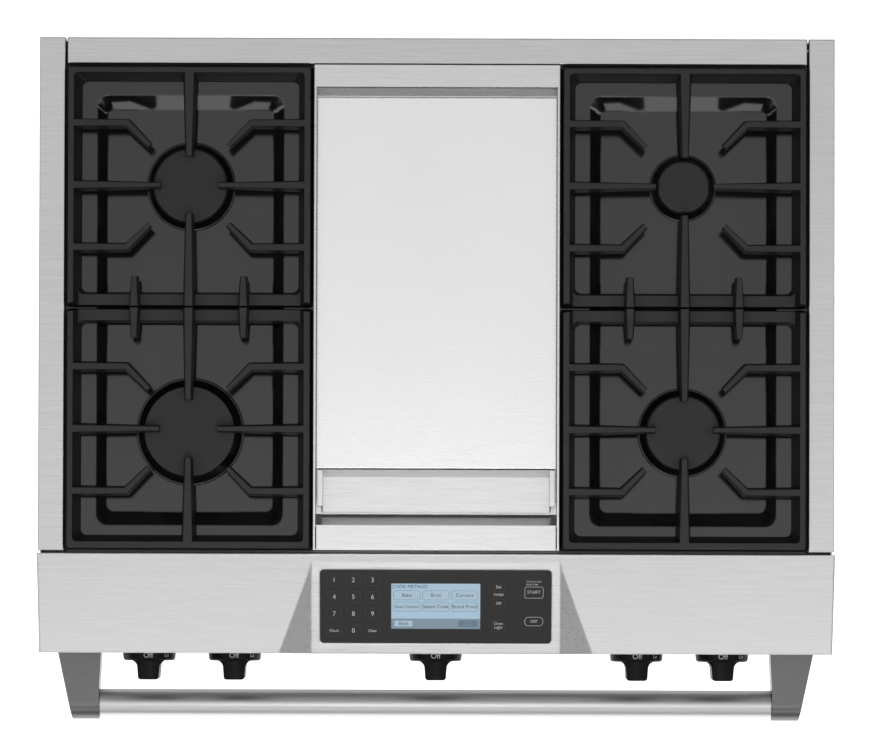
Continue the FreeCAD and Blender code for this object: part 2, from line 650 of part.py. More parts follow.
def grate(label, x, y, turn):
    """One cast grate, modelled with its seam side towards -Y, then turned into place."""
    wide, deep, out = "grate_half_width", "grate_half_depth", "grate_draft_out"
    outer = frustum(label + "_outer", (f"-{wide}", wide), (f"-{deep}", deep), ("grate_low", "grate_top"),
                    (f"{out} - {wide}", f"{wide} - {out}"), (f"{out} - {deep}", f"{deep} - {out}"))
    outer_eased = rounded(label + "_outer_eased", outer, 2.5, upright)
    low_x, low_y = "grate_half_width - grate_rail", "grate_half_depth - grate_rail"
    in_x, in_y = low_x + " + grate_draft_in", low_y + " + grate_draft_in"
    inner = frustum(label + "_inner", (f"-({low_x})", low_x), (f"-({low_y})", low_y),
                    ("grate_low", "grate_top"), (f"-({in_x})", in_x), (f"-({in_y})", in_y))
    inner_eased = rounded(label + "_inner_eased", inner, 7.5, upright, 4)
    step_x = low_x + " + grate_draft_in * (cross_rail_top - grate_low) / (grate_top - grate_low)"
    seam_end, inside = f"-({deep}) - 12", f"-({low_y}) + 8"
    step = frustum(label + "_step", (f"-({step_x})", step_x), (seam_end, inside),
                   ("cross_rail_top", "grate_top"), (f"-({in_x})", in_x), (seam_end, inside))
    frame = cut(label + "_frame", cut(label + "_ring", outer_eased, inner_eased), step)

    tip = dim.finger_tip
    rail_x, rear_y, seam_y = 133.0, 130.5, -dim.grate_half_depth
    fingers = []
    for sign in (-1, 1):
        word = "left" if sign < 0 else "right"
        fingers.append(finger(f"{label}_{word}", (sign * rail_x, 0), (sign * tip, 0), (8, 14), (4.6, 8)))
        fingers.append(finger(f"{label}_bridge_{word}", (sign * 62.3, seam_y), (sign * 62.3, seam_y + 34),
                              (8.8, 14.7), (5.2, 9), 900, 908))
        for end in (-1, 1):
            part = f"{label}_{word}_{'rear' if end > 0 else 'seam'}"
            knee, point = (sign * 71, end * 71), (sign * 45, end * 45)
            root = (sign * rail_x, end * 71)
            fingers.append(finger(part + "_run", root, knee, (7.6, 13), (6.4, 11), 905, 909))
            fingers.append(finger(part + "_point", knee, point, (6.4, 11), (4.8, 8), 909, 913))
            knuckle = doc.addObject("Part::Cone", part + "_knuckle")
            knuckle.Radius1, knuckle.Radius2 = 5.5, 3.2
            bind(knuckle, "Height", "grate_top - 909")
            shift(knuckle, f"{knee[0]}", f"{knee[1]}", "909")
            fingers.append(knuckle)
    fingers.append(finger(f"{label}_rear", (0, rear_y), (0, tip), (10.7, 17), (6, 10)))
    fingers.append(finger(f"{label}_seam", (0, seam_y), (0, -tip), (9.3, 15.7), (6, 10), 900, 913))
    pads = [rod(f"{label}_pad_{i}", "z", "4.5", "3.9", (f"{px}", f"{py}", "deck_top + 0.1"))
            for i, (px, py) in enumerate(((-131, -128), (131, -128), (-131, 128), (131, 128)))]
    whole = fuse(label + "_casting", frame, *fingers, *pads)
    whole.Placement = Placement(Vector(x, y, 0), Rotation(Vector(0, 0, 1), turn))
    node(label, whole)


def grates():
    gap = 1.0
    for column, sign in (("left", -1), ("right", 1)):
        x = sign * dim.column
        rear_y = dim.seam_y + gap + dim.grate_half_depth
        front_y = dim.seam_y - gap - dim.grate_half_depth
        grate(f"grate_rear_{column}", x, rear_y, 0)
        grate(f"grate_front_{column}", x, front_y, 180)


def griddle_housing():
    inner = "griddle_half - griddle_wall"
    walls = [box(f"housing_wall_{word}", span(sign, inner, "griddle_half"), ("cook_front", "362.8"),
                 ("872", "griddle_top")) for word, sign in (("left", -1), ("right", 1))]
    across = (f"-({inner}) - 0.5", f"{inner} + 0.5")
    rear = box("housing_rear", across, ("337.6", "362.8"), ("griddle_top - 2", "griddle_top"))
    rear_wall = box("housing_rear_wall", across, ("361.3", "362.8"), ("872", "griddle_top - 1"))
    splash = prism("housing_splash", "YZ", [("338.6", "griddle_top"), ("330", "902"), ("327.6", "902"),
                                            ("336.2", "griddle_top - 1.5"), ("337.6", "griddle_top")],
                   *across)
    shelf = box("housing_shelf", across, ("-102", "331"), ("872", "874"))
    foot = box("housing_foot", across, ("327", "330.6"), ("873", "902.6"))
    ledge_ends = (f"-({inner}) + 1.1", f"{inner} - 1.1")
    front = box("housing_front", ledge_ends, ("cook_front", "-164"), ("909", "trim_top"))
    front_drop = box("housing_front_drop", across, ("cook_front", "cook_front + sheet"), ("872", "909.5"))
    front_slope = prism("housing_front_slope", "YZ",
                        [("-164", "909.5"), ("-151.6", "878.4"), ("-151.6", "876.4"), ("-153.4", "876.4"),
                         ("-165.8", "909.5")], *across)
    trough = box("housing_trough", across, ("-153.4", "-100.4"), ("876.4", "878.4"))
    riser = box("housing_riser", across, ("-102", "-100.4"), ("872", "878.4"))
    node("griddle_housing", fuse("griddle_housing_welded", *walls, rear, rear_wall, splash, shelf, foot,
                                 front, front_drop, front_slope, trough, riser))


def griddle():
    inner = "griddle_half - griddle_wall"
    plate = box("plate_blank", (f"-({inner})", inner), ("-100", "327"), ("888", "900"))
    edges = rounded("plate_eased", plate, 1.6, lambda e: e.BoundBox.ZLength < 0.1 and e.BoundBox.Center.z > 899)
    feet = [box(f"plate_foot_{i}", (f"{x - 8}", f"{x + 8}"), (f"{y - 8}", f"{y + 8}"), ("874.1", "888.5"))
            for i, (x, y) in enumerate(((-124, -85), (124, -85), (-124, 310), (124, 310)))]
    node("griddle_plate", fuse("griddle_plate_whole", edges, *feet))
    z = 883.8
    corners = [(-90, 300, z), (-90, -50, z), (-30, -50, z), (-30, 240, z), (30, 240, z), (30, -50, z),
               (90, -50, z), (90, 300, z)]
    node("griddle_element", bent_rod("griddle_tube", "4", corners, 18))


def grease_tray():
    """A pressed tray with hanging side flanges; its front wall is low, and its side walls fall towards it."""
    width, inside = ("-131.5", "131.5"), ("-130", "130")
    outer = frustum("tray_outer", width, ("-151.2", "-107.2"), ("878.5", "904"), width, ("-151.2", "-100.6"))
    inner = frustum("tray_inner", inside, ("-150", "-108.7"), ("880", "906"), inside, ("-150", "-100.5"))
    flange = box("tray_flange", ("-135.8", "135.8"), ("-151.2", "-101"), ("902.6", "904"))
    fall = prism("tray_fall", "YZ", [("-142", "905"), ("-149", "884"), ("-153", "884"), ("-153", "905")],
                 "-140", "140")
    node("grease_tray", cut("grease_tray_pressed", fuse("tray_blank", outer, flange), inner, fall))


# ---------------------------------------------------------------- gas

KNOBS = {"left_outer": "-outer_knob_x", "left_inner": "-inner_knob_x",
         "right_inner": "inner_knob_x", "right_outer": "outer_knob_x"}


def gas_manifold():
    end, z = dim.manifold_end_x, dim.knob_z
    corners = [(-360, dim.manifold_y, z), (end, dim.manifold_y, z), (end, 389, z)]
    pipe = bent_rod("manifold_pipe", "manifold_radius", corners, 24)
    cap = doc.addObject("Part::Sphere", "manifold_cap")
    bind(cap, "Radius", "manifold_radius")
    shift(cap, "-360", "manifold_y", "knob_z")
    regulator = rod("regulator_body", "z", "22", "44", ("manifold_end_x", "300", "knob_z - 20"))
    dome = rod("regulator_dome", "z", "15", "14", ("manifold_end_x", "300", "knob_z + 22"))
    inlet = rod("inlet_socket", "y", "15", "22", ("manifold_end_x", "368", "knob_z"))
    thread = rod("inlet_thread", "y", "9.3", "18", ("manifold_end_x", "373", "knob_z"))
    body = fuse("manifold_blank", pipe, cap, regulator, dome, inlet)
    node("gas_manifold", cut("manifold_tapped", body, thread))


def gas_valves():
    valves = []
    for name, x in KNOBS.items():
        body = box(f"valve_{name}_body", (f"{x} - 13", f"{x} + 13"),
                   ("-272", "manifold_y - manifold_radius - 0.2"), ("knob_z - 13", "knob_z + 13"))
        outlet = rod(f"valve_{name}_outlet", "z", "7", "6", (x, "-257", "knob_z + 12.5"))
        bore = rod(f"valve_{name}_bore", "y", "spindle_radius + fit_gap", "14", (x, "-273", "knob_z"))
        valves.append(cut(f"valve_{name}", fuse(f"valve_{name}_blank", body, outlet), bore))
    node("gas_valves", group("gas_valve_set", *valves))


def burner_tubes():
    feeds = {"left_outer": "front_left", "left_inner": "rear_left",
             "right_inner": "rear_right", "right_outer": "front_right"}
    tubes = []
    for knob, burner_name in feeds.items():
        side, y, *_ = BURNERS[burner_name]
        x = float(doc_value(KNOBS[knob]))
        level = 826 if "front" in burner_name else 841
        end = side * dim.burner_x
        corners = [(x, -257, dim.knob_z + 18.7), (x, -257, level), (x, getattr(dim, y), level),
                   (end, getattr(dim, y), level), (end, getattr(dim, y), level + 32)]
        tubes.append(bent_rod(f"tube_{knob}", "4.5", corners, 12))
    node("burner_tubes", group("burner_tube_set", *tubes))


# ---------------------------------------------------------------- controls

def deck_height(y):
    """Height of the sloped console deck at depth y."""
    slope = (dim.console_rear_z - dim.lip_z) / (dim.console_rear_y - dim.lip_y)
    return dim.lip_z + slope * (y - dim.lip_y)


def hood_height(y):
    """Height of the raised centre of the console at depth y."""
    low, high = dim.lip_z + dim.hood_rise, deck_height(dim.hood_rear_y)
    return low + (high - low) * (y - dim.lip_y) / (dim.hood_rear_y - dim.lip_y)


OVERLAY = {"half_width": 132.4, "rear_y": -215.5, "front_y": -299.3, "thickness": 4.0, "proud": 0.8}


def overlay_block(name, margin, depth):
    """A slab in the plane of the console's raised centre, `margin` wider all round."""
    rear, front = OVERLAY["rear_y"], OVERLAY["front_y"]
    slope = math.atan2(hood_height(rear) - hood_height(front), rear - front)
    length = (rear - front) / math.cos(slope)
    slab = doc.addObject("Part::Box", name)
    slab.Length = 2 * (OVERLAY["half_width"] + margin)
    slab.Width = length + 2 * margin
    slab.Height = depth
    turn = Rotation(Vector(1, 0, 0), math.degrees(slope))
    drop = turn.multVec(Vector(0, -margin, OVERLAY["proud"] - OVERLAY["thickness"]))
    slab.Placement = Placement(Vector(-OVERLAY["half_width"] - margin, front, hood_height(front)) + drop, turn)
    return rounded(name + "_eased", slab, 4 + margin,
                   lambda e: abs(direction(e).dot(turn.multVec(Vector(0, 0, 1)))) > 0.99)


def control_deck():
    deck_line = [("console_rear_y", "console_rear_z"), ("lip_y", "lip_z"), ("lip_y", "lip_low"),
                 ("panel_face + 1", "lip_low"), ("panel_face + 1", "lip_low + sheet"),
                 ("lip_y + sheet", "lip_low + sheet"), ("lip_y + sheet", "lip_z - 0.9"),
                 ("console_rear_y - sheet", "console_rear_z - 2.6"), ("console_rear_y - sheet", "trim_bottom"),
                 ("console_rear_y", "trim_bottom")]
    sheet_metal = prism("deck_sheet", "YZ", deck_line, "-console_half", "console_half")
    end_line = [("console_rear_y", "console_rear_z"), ("lip_y", "lip_z"), ("lip_y", "lip_low"),
                ("panel_face", "lip_low"), ("panel_face", "panel_low"), ("case_front - 0.3", "panel_low"),
                ("case_front - 0.3", "shoulder_z + 0.4"), ("console_rear_y", "shoulder_z + 0.4")]
    ends = [prism(f"deck_end_{word}", "YZ", end_line, *span(sign, "console_half - sheet", "console_half"))
            for word, sign in (("left", -1), ("right", 1))]
    up, across = Vector(0, 0, 1), Vector(1, 0, 0)
    crest = "lip_z + hood_rise"
    front = section("hood_front", [("-hood_front_half", "lip_z - 0.6"), ("hood_front_half", "lip_z - 0.6"),
                                   ("hood_rear_half", crest), ("-hood_rear_half", crest)],
                    (0, dim.lip_y, 0), across, up)
    rear_z = deck_height(dim.hood_rear_y)
    sunk, proud = f"{rear_z - 0.6}", f"{rear_z + 0.05}"
    rear = section("hood_rear", [("-hood_rear_half - 0.3", sunk), ("hood_rear_half + 0.3", sunk),
                                 ("hood_rear_half", proud), ("-hood_rear_half", proud)],
                   (0, dim.hood_rear_y, 0), across, up)
    hood = loft("hood", front, rear)
    pocket = overlay_block("overlay_pocket", 0.2, 12)
    blank = fuse("control_deck_blank", sheet_metal, *ends, hood)
    node("control_deck", cut("control_deck_whole", blank, pocket))


def touch_panel():
    node("touch_panel", overlay_block("overlay_glass", 0.0, OVERLAY["thickness"]))


def knob_panel():
    panel = tray("panel_tray", ("-453.8", "453.8"), ("panel_face", "frame_face - 1.2"),
                 ("panel_low", "lip_low - 0.2"), open_side="back")
    holes = [rod(f"panel_hole_{i}", "y", "6.5", "12", (x, "panel_face - 5", "knob_z"))
             for i, x in enumerate(("0", *KNOBS.values()))]
    roof_gap = box("panel_roof_gap", ("-451", "451"), ("panel_face + 4", "-240"),
                   ("lip_low - 5", "lip_low + 5"))
    node("knob_panel", cut("knob_panel_pierced", panel, roof_gap, *holes))


def electronics():
    tilt = math.degrees(math.atan2(dim.console_rear_z - dim.lip_z, dim.console_rear_y - dim.lip_y))
    board = box("board", ("-120", "120"), ("-48", "24"), ("0", "1.6"))
    relays = [box(f"relay_{i}", (f"{-100 + 50 * i}", f"{-70 + 50 * i}"), ("-30", "-10"), ("-16", "0.5"))
              for i in range(4)]
    whole = fuse("board_populated", board, *relays)
    middle_y = -236.0
    place = Vector(0, middle_y, deck_height(middle_y) - 22)
    whole.Placement = Placement(place, Rotation(Vector(1, 0, 0), tilt))
    node("control_board", whole)

    body = box("thermostat_body", ("-24", "24"), ("-286", "-248"), ("knob_z - 20", "knob_z + 20"))
    bore = rod("thermostat_bore", "y", "spindle_radius + fit_gap", "14", ("0", "-287", "knob_z"))
    node("griddle_thermostat", cut("thermostat_bored", body, bore))


def knob_solid(name, x):
    """A disc skirt with a flared finger bar, its axis along Y at x."""
    skirt = cone(name + "_skirt", "y", "30", "31.5", "skirt_depth", (x, "knob_rear - skirt_depth", "knob_z"))
    skirt_eased = rounded(name + "_skirt_eased", skirt, 3,
                          lambda e: e.BoundBox.YLength < 0.1 and e.BoundBox.Center.y < dim.knob_rear - 1)
    centre = float(doc_value(x))
    root = dim.knob_rear - dim.skirt_depth + 0.4
    body = doc.addObject("PartDesign::Body", name + "_bar")
    sketch = body.newObject("Sketcher::SketchObject", name + "_bar_plan")
    sketch.AttachmentSupport = (next(f for f in body.Origin.OriginFeatures if f.Role == "XY_Plane"), [""])
    sketch.MapMode = "FlatFace"
    bind(sketch, "AttachmentOffset.Base.z", "knob_z - 29")
    half_root, half_end, flare, ease = 12.9, 12.1, 8.5, 3.5
    tip = dim.knob_end

    def point(dx, y):
        return Vector(centre + dx, y, 0)

    quarter = math.sqrt(0.5)
    for geometry in (
        Part.LineSegment(point(-half_root - flare, root), point(half_root + flare, root)),
        Part.Arc(point(half_root + flare, root),
                 point(half_root + flare - flare * quarter, root - flare + flare * quarter),
                 point(half_root, root - flare)),
        Part.LineSegment(point(half_root, root - flare), point(half_end, tip + ease)),
        Part.Arc(point(half_end, tip + ease),
                 point(half_end - ease + ease * quarter, tip + ease - ease * quarter),
                 point(half_end - ease, tip)),
        Part.LineSegment(point(half_end - ease, tip), point(ease - half_end, tip)),
        Part.Arc(point(ease - half_end, tip),
                 point(ease - half_end - ease * quarter, tip + ease - ease * quarter),
                 point(-half_end, tip + ease)),
        Part.LineSegment(point(-half_end, tip + ease), point(-half_root, root - flare)),
        Part.Arc(point(-half_root, root - flare),
                 point(-half_root - flare + flare * quarter, root - flare + flare * quarter),
                 point(-half_root - flare, root)),
    ):
        sketch.addGeometry(geometry, False)
    pad = body.newObject("PartDesign::Pad", name + "_bar_pad")
    pad.Profile = sketch
    pad.Length = 58
    envelope = rod(name + "_envelope", "y", "28.4", "60", (x, "knob_end - 5", "knob_z"))
    bar = common(name + "_grip", body, envelope)
    return fuse(name + "_blank", skirt_eased, bar)


def knobs():
    for name, x in KNOBS.items():
        label = f"knob_{name}"
        socket = rod(label + "_socket", "y", "spindle_radius + fit_gap", "40", (x, "-336.5", "knob_z"))
        node(label, cut(label + "_bored", knob_solid(label, x), socket))
        shaft = rod(f"spindle_{name}_shaft", "y", "spindle_radius", "68", (x, "-331", "knob_z"))
        node(f"spindle_{name}", shaft)
    shaft = rod("knob_griddle_shaft", "y", "spindle_radius", "40", ("0", "-314", "knob_z"))
    node("knob_griddle", fuse("knob_griddle_whole", knob_solid("knob_griddle", "0"), shaft))


# ---------------------------------------------------------------- build and write

for make in (base_pan, legs, side_panels, rear_panel, kick_plate, cooktop_trims,
             oven_liner, oven_insulation, oven_face_frame, door_gasket, rack_guides,
             oven_heaters, convection, oven_lamps,
             door_skin, door_liner, door_glass, handle, hinges,
             burner_pans, burners, grates, griddle_housing, griddle, grease_tray,
             gas_manifold, gas_valves, burner_tubes,
             control_deck, touch_panel, knob_panel, electronics, knobs):
    make()
rack("rack_upper", RACK_LEVELS[3])
rack("rack_lower", RACK_LEVELS[1])
doc.recompute()

for thing in doc.Objects:
    if "Invalid" in thing.State or "Error" in thing.State:
        raise RuntimeError(f"{thing.Name} failed: {thing.State}")
for thing in nodes:
    if thing.Shape.isNull() or not thing.Shape.isValid():
        raise RuntimeError(f"{thing.Label} has no valid shape")
for thing in nodes:
    thing.Shape.exportStep(f"parts/{thing.Label}.step")
print(len(nodes), "sub-parts written")
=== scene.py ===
import json
import math

import bmesh
import bpy
from mathutils import Matrix, Vector


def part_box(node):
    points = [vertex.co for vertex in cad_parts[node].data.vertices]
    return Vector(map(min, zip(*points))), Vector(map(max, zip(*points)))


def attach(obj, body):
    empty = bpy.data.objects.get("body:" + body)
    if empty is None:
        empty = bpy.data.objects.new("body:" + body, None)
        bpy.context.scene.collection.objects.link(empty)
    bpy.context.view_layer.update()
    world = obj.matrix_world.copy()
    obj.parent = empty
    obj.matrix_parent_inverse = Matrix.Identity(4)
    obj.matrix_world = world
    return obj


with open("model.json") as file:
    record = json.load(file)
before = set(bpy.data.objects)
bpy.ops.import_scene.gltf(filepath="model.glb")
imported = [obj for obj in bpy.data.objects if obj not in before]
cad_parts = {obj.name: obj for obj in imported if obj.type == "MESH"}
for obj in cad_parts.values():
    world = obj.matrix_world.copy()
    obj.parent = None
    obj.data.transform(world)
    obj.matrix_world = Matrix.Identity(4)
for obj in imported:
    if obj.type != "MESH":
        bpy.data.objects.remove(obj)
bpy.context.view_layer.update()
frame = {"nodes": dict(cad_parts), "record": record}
nodes = frame["nodes"]
scene = bpy.context.scene
scene.view_settings.view_transform = "Standard"


# ---------------------------------------------------------------- materials

def srgb(value):
    """The linear grey of an 8-bit grey level."""
    share = value / 255
    return ((share + 0.055) / 1.055) ** 2.4 if share > 0.04045 else share / 12.92


def grey(value, tint=(1, 1, 1)):
    level = srgb(value)
    return (level * tint[0], level * tint[1], level * tint[2], 1)


class Shader:
    """A Principled material with short calls for the nodes that feed it."""

    def __init__(self, name, **sockets):
        self.material = bpy.data.materials.new(name)
        self.material.use_nodes = True
        self.tree = self.material.node_tree
        self.surface = self.tree.nodes["Principled BSDF"]
        for socket, value in sockets.items():
            self.surface.inputs[socket.replace("_", " ")].default_value = value
        self.place = self.add("ShaderNodeTexCoord").outputs["Object"]

    def add(self, kind, **settings):
        node = self.tree.nodes.new(kind)
        for key, value in settings.items():
            setattr(node, key, value)
        return node

    def link(self, output, target):
        self.tree.links.new(output, target)

    def stretched(self, scale):
        """The object's coordinates, in metres, times a scale per axis."""
        mapping = self.add("ShaderNodeMapping")
        mapping.inputs["Scale"].default_value = scale
        self.link(self.place, mapping.inputs["Vector"])
        return mapping.outputs["Vector"]

    def noise(self, scale, detail=3.0, roughness=0.5):
        texture = self.add("ShaderNodeTexNoise")
        texture.inputs["Scale"].default_value = 1.0
        texture.inputs["Detail"].default_value = detail
        texture.inputs["Roughness"].default_value = roughness
        self.link(self.stretched(scale), texture.inputs["Vector"])
        return texture.outputs["Fac"]

    def ramp(self, source, low, high, start=0.3, end=0.7):
        """Map a 0..1 source onto two greys or colours."""
        ramp = self.add("ShaderNodeValToRGB")
        stops = ramp.color_ramp.elements
        stops[0].position, stops[1].position = start, end
        stops[0].color = low if hasattr(low, "__len__") else (low, low, low, 1)
        stops[1].color = high if hasattr(high, "__len__") else (high, high, high, 1)
        self.link(source, ramp.inputs["Fac"])
        return ramp.outputs["Color"]

    def mix(self, share, first, second):
        """Blend two colours or outputs, by a share that is one too."""
        mix = self.add("ShaderNodeMix", data_type="RGBA", blend_type="MIX")
        sources = {"Factor": share, "A": first, "B": second}
        for socket_name, value in sources.items():
            socket = mix.inputs[socket_name]
            if isinstance(value, bpy.types.NodeSocket):
                self.link(value, socket)
            else:
                socket.default_value = value
        return mix.outputs["Result"]

    def colour(self, source):
        self.link(source, self.surface.inputs["Base Color"])

    def rough(self, source):
        self.link(source, self.surface.inputs["Roughness"])

    def bump(self, source, distance, strength=1.0, under=None):
        """The normal of a relief, on top of the normal `under`."""
        bump = self.add("ShaderNodeBump")
        bump.inputs["Distance"].default_value = distance
        bump.inputs["Strength"].default_value = strength
        self.link(source, bump.inputs["Height"])
        if under:
            self.link(under, bump.inputs["Normal"])
        return bump.outputs["Normal"]

    def relief(self, source, distance, strength=1.0, edge=0.0, fall=0.0):
        """Bump from a source; `edge` rounds the look of sharp edges by that radius.

        `fall` leans only the shading towards the rear, by that rise per run: the mesh stays level.
        """
        normal = None
        if edge:
            bevel = self.add("ShaderNodeBevel", samples=4)
            bevel.inputs["Radius"].default_value = edge
            normal = bevel.outputs["Normal"]
        if fall:
            split = self.add("ShaderNodeSeparateXYZ")
            self.link(self.stretched((1, -fall, 1)), split.inputs["Vector"])
            normal = self.bump(split.outputs["Y"], 1.0, under=normal)
        self.link(self.bump(source, distance, strength, normal), self.surface.inputs["Normal"])


def brushed_steel(name, level, along="X", roughness=0.3, contrast=0.035, edge=0.0006):
    """Stainless sheet with a fine grain along one axis."""
    shader = Shader(name, Metallic=1.0, Roughness=roughness)

    def grain(across, length):
        return tuple(length if axis == along else across for axis in "XYZ")

    hairs = shader.noise(grain(1300, 25), detail=2)
    bands = shader.noise(grain(650, 12), detail=2)
    cloud = shader.noise((5, 5, 5), detail=2)
    lines = shader.mix(0.6, shader.ramp(hairs, 0.0, 1.0), shader.ramp(bands, 0.0, 1.0))
    tone = shader.ramp(lines, grey(level * (1 - contrast)), grey(level * (1 + contrast)), 0.1, 0.9)
    shader.colour(shader.mix(0.1, tone, shader.ramp(cloud, grey(level * 0.92), grey(level * 1.06))))
    shader.rough(shader.ramp(lines, roughness - 0.03, roughness + 0.04, 0.1, 0.9))
    shader.relief(hairs, 0.00002, 0.15, edge)
    return shader.material


def plain_sheet(name, level, roughness=0.42):
    """Zinc-coated sheet with a faint crystalline mottle."""
    shader = Shader(name, Metallic=1.0, Roughness=roughness)
    spangle = shader.add("ShaderNodeTexVoronoi")
    spangle.inputs["Scale"].default_value = 1.0
    shader.link(shader.stretched((90, 90, 90)), spangle.inputs["Vector"])
    shader.colour(shader.ramp(spangle.outputs["Distance"], grey(level * 0.92), grey(level * 1.05), 0.0, 0.9))
    cloud = shader.noise((30, 30, 30))
    shader.rough(shader.ramp(cloud, roughness - 0.08, roughness + 0.1))
    shader.relief(cloud, 0.0001, 0.2, 0.0006)
    return shader.material


def enamel(name, level, roughness, gloss, edge, speckle=0.0, fall=0.0):
    """Glossy vitreous enamel with a slight orange peel, and specks if wanted."""
    shader = Shader(name, Roughness=roughness, Specular_IOR_Level=gloss)
    peel = shader.noise((160, 160, 160), detail=1)
    cloud = shader.noise((9, 9, 9), detail=3)
    tone = shader.ramp(cloud, grey(level * 0.92), grey(level * 1.08))
    if speckle:
        dots = shader.noise((900, 900, 900), detail=0)
        speck_share = shader.ramp(dots, 0.0, 1.0, 0.66, 0.72)
        tone = shader.mix(speck_share, tone, grey(level + speckle, (0.9, 0.95, 1.1)))
    shader.colour(tone)
    shader.rough(shader.ramp(cloud, roughness - 0.02, roughness + 0.04))
    shader.relief(peel, 0.0001, 0.08, edge, fall)
    return shader.material


def casting(name, level, roughness=0.5, grain=700, edge=0.0012, gloss=0.5):
    """Matt black cast iron: fine sandy bump, lighter where edges are rubbed."""
    shader = Shader(name, Roughness=roughness, Specular_IOR_Level=gloss)
    sand = shader.noise((grain, grain, grain), detail=3, roughness=0.65)
    cloud = shader.noise((14, 14, 14), detail=3)
    tone = shader.ramp(cloud, grey(level * 0.9), grey(level * 1.1))
    rubbed = shader.ramp(shader.add("ShaderNodeNewGeometry").outputs["Pointiness"], 0.0, 1.0, 0.53, 0.62)
    shader.colour(shader.mix(rubbed, tone, grey(level * 1.3)))
    shader.rough(shader.ramp(sand, roughness - 0.06, roughness + 0.08))
    shader.relief(sand, 0.00012, 0.2, edge)
    return shader.material


def moulded(name, colour, roughness=0.4, grain=1200, edge=0.0008, gloss=0.5):
    """Moulded plastic or rubber with a fine texture."""
    shader = Shader(name, Roughness=roughness, Specular_IOR_Level=gloss)
    texture = shader.noise((grain, grain, grain), detail=2)
    cloud = shader.noise((20, 20, 20))
    darker = tuple(part * 0.88 for part in colour[:3]) + (1,)
    shader.colour(shader.ramp(cloud, darker, colour))
    shader.rough(shader.ramp(texture, roughness - 0.05, roughness + 0.07))
    shader.relief(texture, 0.0001, 0.25, edge)
    return shader.material


def metal(name, colour, roughness=0.3, grain=(60, 60, 60), edge=0.0005):
    """Plain metal with light smudges and machining marks."""
    shader = Shader(name, Metallic=1.0, Roughness=roughness)
    marks = shader.noise(grain, detail=4)
    darker = tuple(part * 0.85 for part in colour[:3]) + (1,)
    shader.colour(shader.ramp(marks, darker, colour))
    shader.rough(shader.ramp(marks, roughness - 0.06, roughness + 0.1))
    shader.relief(marks, 0.00006, 0.3, edge)
    return shader.material


def woven(name, colour, pitch):
    """A coarse braid: two crossing waves with loose fibre noise."""
    shader = Shader(name, Roughness=0.9)
    wave = shader.add("ShaderNodeTexWave", wave_type="BANDS", bands_direction="DIAGONAL")
    wave.inputs["Scale"].default_value = 1.0
    wave.inputs["Distortion"].default_value = 2.0
    shader.link(shader.stretched((pitch, pitch, pitch)), wave.inputs["Vector"])
    fibre = shader.noise((500, 500, 500), detail=4)
    both = shader.mix(0.4, wave.outputs["Color"], shader.ramp(fibre, 0.0, 1.0))
    darker = tuple(part * 0.6 for part in colour[:3]) + (1,)
    shader.colour(shader.ramp(both, darker, colour))
    shader.relief(both, 0.0008, 0.6)
    return shader.material


def tinted_glass(name, colour, roughness=0.03, alpha=0.45):
    shader = Shader(name, Roughness=roughness, Coat_Weight=0.5, Alpha=alpha, IOR=1.5)
    cloud = shader.noise((5, 5, 5))
    darker = tuple(part * 0.85 for part in colour[:3]) + (1,)
    shader.colour(shader.ramp(cloud, darker, colour))
    shader.relief(cloud, 0.0001, 0.05, 0.0006)
    return shader.material


def overlay_glass():
    """Near-black touch glass with a trace of dust in its gloss."""
    shader = Shader("overlay_glass", Roughness=0.2)
    dust = shader.noise((300, 300, 300), detail=3)
    shader.colour(shader.ramp(dust, grey(17), grey(20)))
    shader.rough(shader.ramp(dust, 0.19, 0.24))
    shader.relief(dust, 0.00002, 0.05, 0.0008)
    return shader.material


def ink(name, colour, roughness=0.45, glow=0.0):
    """Printed or lit marking with a slight unevenness."""
    shader = Shader(name, Roughness=roughness, Emission_Strength=glow)
    shader.surface.inputs["Emission Color"].default_value = colour
    speck = shader.noise((1500, 1500, 1500), detail=2)
    darker = tuple(part * 0.9 for part in colour[:3]) + (1,)
    shader.colour(shader.ramp(speck, darker, colour))
    shader.relief(speck, 0.00002, 0.1)
    return shader.material


steel_flat = brushed_steel("stainless_brushed", 204)
# Vertical sides and fronts get darker copies of the same stainless: painted shade. The upright grain on the
# sides is real.
steel_side_painted_shade = brushed_steel("stainless_side_painted_shade", 178, along="Z")
steel_front_painted_shade = brushed_steel("stainless_front_painted_shade", 178)
# The sloped control deck gets a lighter copy of the same stainless: painted light.
steel_deck_painted_light = brushed_steel("stainless_deck_painted_light", 214, edge=0.003)
# Griddle housing and grease tray get a lighter copy of the same stainless: painted light.
steel_painted_light = brushed_steel("stainless_painted_light", 216)
steel_satin = brushed_steel("stainless_satin", 196, roughness=0.38, contrast=0.01)
# The handle brackets get a much darker copy of the same stainless: painted shade from the console lip above
# them.
bracket_steel_painted_shade = brushed_steel("bracket_steel_painted_shade", 108, roughness=0.3, contrast=0.01)
zinc = plain_sheet("galvanised_sheet", 190)
griddle_steel = brushed_steel("griddle_steel", 238, roughness=0.26, contrast=0.004)
pan_enamel = enamel("black_enamel", 22, roughness=0.1, gloss=1.0, edge=0.0025, fall=0.05)
cavity_enamel = enamel("cavity_enamel", 52, roughness=0.2, gloss=0.5, speckle=60, edge=0.001)
iron = casting("grate_iron", 25, roughness=0.48)
cap_iron = casting("cap_iron", 26, roughness=0.45, grain=900, gloss=0.45)
burner_black = enamel("burner_black", 12, roughness=0.16, gloss=0.5, edge=0.001)
knob_black = moulded("knob_black", grey(9), roughness=0.36, gloss=0.15)
brass = metal("brass", (0.62, 0.42, 0.16, 1), 0.28)
aluminium = metal("aluminium", (0.72, 0.73, 0.75, 1), 0.3)
chrome_wire = metal("rack_chrome", (0.78, 0.78, 0.79, 1), 0.12)
